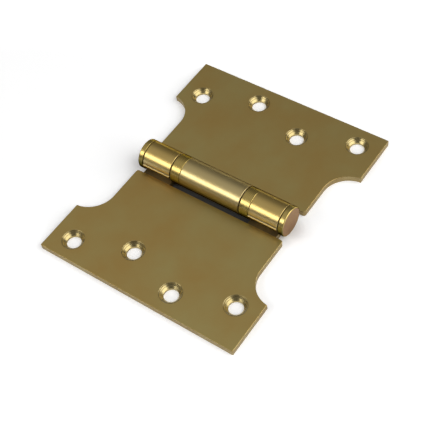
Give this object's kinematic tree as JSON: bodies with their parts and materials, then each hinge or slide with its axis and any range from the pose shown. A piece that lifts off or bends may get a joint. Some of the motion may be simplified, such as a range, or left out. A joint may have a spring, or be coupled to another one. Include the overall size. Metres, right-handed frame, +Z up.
{
  "type": "parliament hinge",
  "caption": "Parliament hinge with wide winged leaves, narrow necks, a rolled knuckle barrel with ball bearing rings, end caps and staggered countersunk screw holes.",
  "frame": {"origin": "on the plane of the leaves' backs, under the middle of the barrel", "axes": "+X along the pin, +Y across the open leaves from the front leaf to the back leaf, +Z up from the backs to the barrel's side"},
  "size_m": [0.102, 0.127, 0.0141],
  "materials": {
    "satin_brass": "fine brushed satin brass",
    "bright_brass": "turned brass, brighter than the leaves",
    "pin_steel": "ground steel",
    "bearing_steel": "hardened and polished steel"
  },
  "bodies": {
    "front": {"front_leaf": "satin_brass", "pin": "pin_steel", "left_cap": "bright_brass", "right_cap": "bright_brass", "left_running_race": "bearing_steel", "right_bearing_shell": "bright_brass", "right_fixed_race": "bearing_steel"},
    "back": {"back_leaf": "satin_brass", "left_bearing_shell": "bright_brass", "left_fixed_race": "bearing_steel", "right_running_race": "bearing_steel"},
    "left_balls": {"left_ball_01": "bearing_steel", "left_ball_02": "bearing_steel", "left_ball_03": "bearing_steel", "left_ball_04": "bearing_steel", "left_ball_05": "bearing_steel", "left_ball_06": "bearing_steel", "left_ball_07": "bearing_steel", "left_ball_08": "bearing_steel", "left_ball_09": "bearing_steel", "left_ball_10": "bearing_steel", "left_ball_11": "bearing_steel", "left_ball_12": "bearing_steel", "left_ball_13": "bearing_steel", "left_ball_14": "bearing_steel"},
    "right_balls": {"right_ball_01": "bearing_steel", "right_ball_02": "bearing_steel", "right_ball_03": "bearing_steel", "right_ball_04": "bearing_steel", "right_ball_05": "bearing_steel", "right_ball_06": "bearing_steel", "right_ball_07": "bearing_steel", "right_ball_08": "bearing_steel", "right_ball_09": "bearing_steel", "right_ball_10": "bearing_steel", "right_ball_11": "bearing_steel", "right_ball_12": "bearing_steel", "right_ball_13": "bearing_steel", "right_ball_14": "bearing_steel"}
  },
  "joints": [
    {"name": "leaf_swing", "type": "hinge", "parent": "front", "child": "back", "pos_m": [0, 0, 0.00705], "axis": [1, 0, 0], "range_deg": [0, 180]},
    {"name": "left_ball_orbit", "type": "hinge", "parent": "front", "child": "left_balls", "pos_m": [-0.0184, 0, 0.00705], "axis": [1, 0, 0], "range_deg": [0, 90]},
    {"name": "right_ball_orbit", "type": "hinge", "parent": "front", "child": "right_balls", "pos_m": [0.01855, 0, 0.00705], "axis": [1, 0, 0], "range_deg": [0, 90]}
  ],
  "couplings": [
    {"joint": "left_ball_orbit", "follows": "leaf_swing", "ratio": 0.5},
    {"joint": "right_ball_orbit", "follows": "leaf_swing", "ratio": 0.5}
  ]
}
